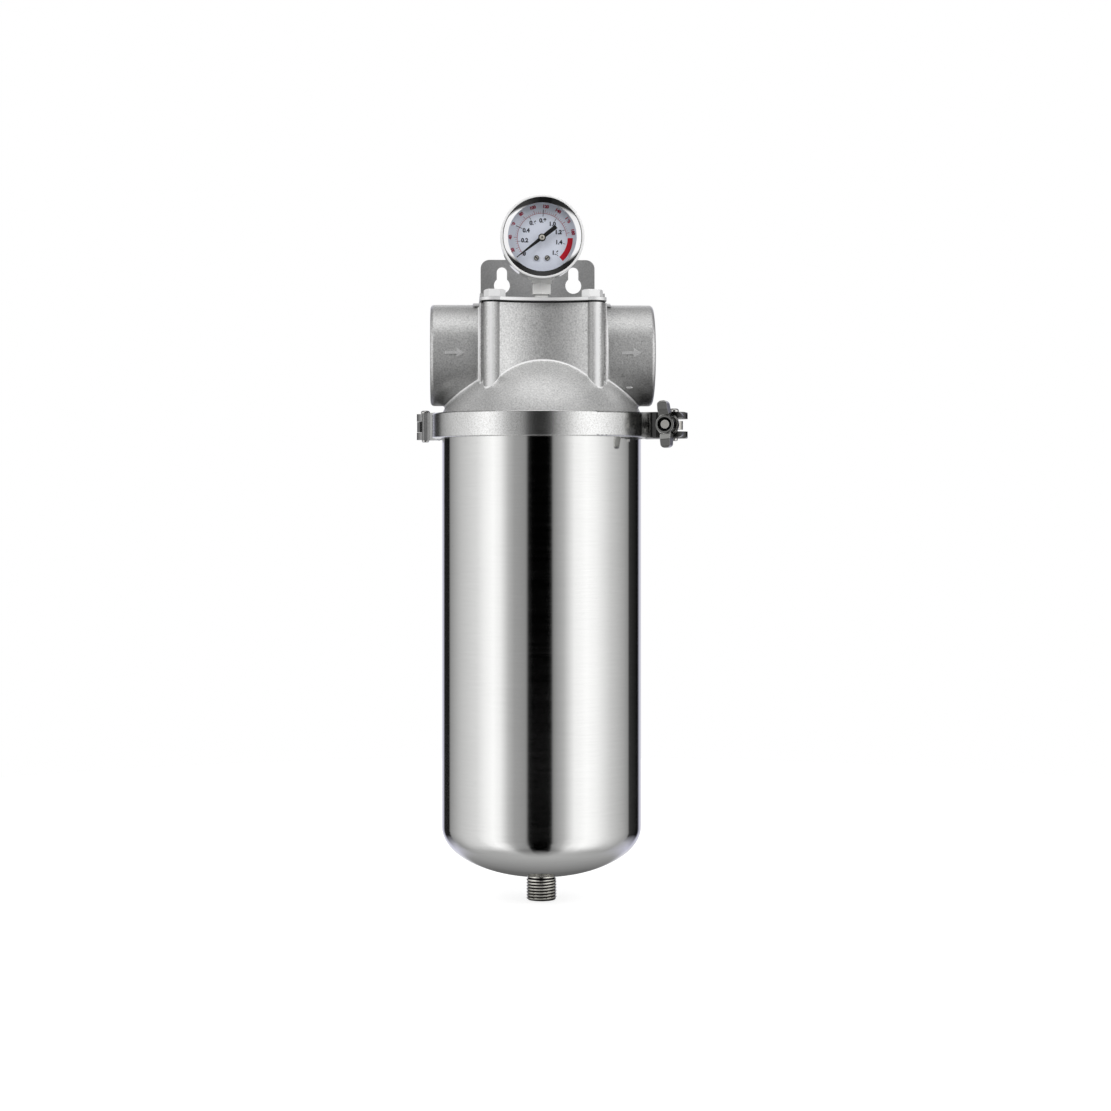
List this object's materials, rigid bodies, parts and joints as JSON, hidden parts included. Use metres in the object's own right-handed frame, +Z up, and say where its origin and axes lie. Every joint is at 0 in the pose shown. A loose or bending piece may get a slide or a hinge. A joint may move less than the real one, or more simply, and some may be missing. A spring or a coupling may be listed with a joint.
{
  "type": "water prefilter",
  "caption": "Upright water prefilter: cast head with two threaded side ports, wall bracket and round pressure gauge over a deep steel bowl held by a hinged wing-nut clamp.",
  "frame": {"origin": "centre of the lower end of the drain nipple, on the bowl's axis", "axes": "+Z up along the bowl, -Y towards the side with the dial, +Y towards the wall, +X from the inlet port to the outlet port"},
  "size_m": [0.1894, 0.161, 0.4937],
  "materials": {
    "bowl_steel": "polished to a soft mirror",
    "cast_steel": "cast and bead blasted, matte",
    "clamp_steel": "satin",
    "turned_steel": "turned",
    "bracket_steel": "dull rolled sheet",
    "bright_bolt": "bright",
    "gauge_chrome": "bright",
    "clear_glass": "clear",
    "dial_face": "matte",
    "needle_black": "matte black",
    "gauge_brass": "plain",
    "inner_steel": "plain",
    "black_rubber": "matte"
  },
  "bodies": {
    "housing": {"bowl": "bowl_steel", "bowl_flange": "bowl_steel", "drain_nipple": "turned_steel", "body_seal": "black_rubber", "head_casting": "cast_steel", "outlet_duct": "cast_steel", "clamp_rear_half": "clamp_steel", "hinge_pin": "turned_steel", "swing_bolt_pin": "turned_steel", "bracket": "bracket_steel", "bracket_pad": "black_rubber", "bracket_bolts": "bright_bolt", "gauge_case": "gauge_chrome", "gauge_bezel": "gauge_chrome", "gauge_window": "clear_glass", "gauge_dial": "dial_face", "dial_screws": "turned_steel", "gauge_movement": "gauge_brass", "bourdon_tube": "gauge_brass", "gauge_socket": "gauge_chrome", "gauge_seal": "black_rubber", "support_tube": "inner_steel", "mesh_sleeve": "inner_steel", "element_top_cap": "inner_steel", "element_seal": "black_rubber", "element_bottom_cap": "inner_steel", "tie_rod": "inner_steel", "element_washer": "inner_steel", "element_nut": "inner_steel"},
    "clamp_front": {"clamp_front_half": "clamp_steel", "closure_fork": "clamp_steel"},
    "swing_bolt": {"swing_bolt": "turned_steel"},
    "nut_carrier": {"nut_washer": "turned_steel"},
    "wing_nut": {"wing_nut": "clamp_steel"},
    "needle": {"gauge_needle": "needle_black", "needle_shaft": "turned_steel"}
  },
  "joints": [
    {"name": "clamp_opening", "type": "hinge", "parent": "housing", "child": "clamp_front", "pos_m": [-0.08196, 0.02768, 0.33285], "axis": [0, 0, -1], "range_deg": [0, 1.59]},
    {"name": "bolt_swing", "type": "hinge", "parent": "housing", "child": "swing_bolt", "pos_m": [0.0917, -0.02033, 0.33285], "axis": [0, 0, 1], "range_deg": [0, 100]},
    {"name": "nut_travel", "type": "slide", "parent": "swing_bolt", "child": "nut_carrier", "axis": [-0.309, -0.9511, 0], "range_m": [0, 0.005]},
    {"name": "wing_nut_turn", "type": "hinge", "parent": "nut_carrier", "child": "wing_nut", "pos_m": [0.0917, -0.02033, 0.33285], "axis": [-0.309, -0.9511, 0], "range_deg": [0, 1440]},
    {"name": "needle_turn", "type": "hinge", "parent": "housing", "child": "needle", "pos_m": [0, -0.01, 0.4644], "axis": [0, 1, 0], "range_deg": [0, 266], "stiffness_Nm_per_rad": 0.0002, "springref_deg": -5.73}
  ],
  "couplings": [
    {"joint": "nut_travel", "follows": "clamp_opening", "m_per_rad": 0.18},
    {"joint": "wing_nut_turn", "follows": "clamp_opening", "ratio": 904.78}
  ]
}
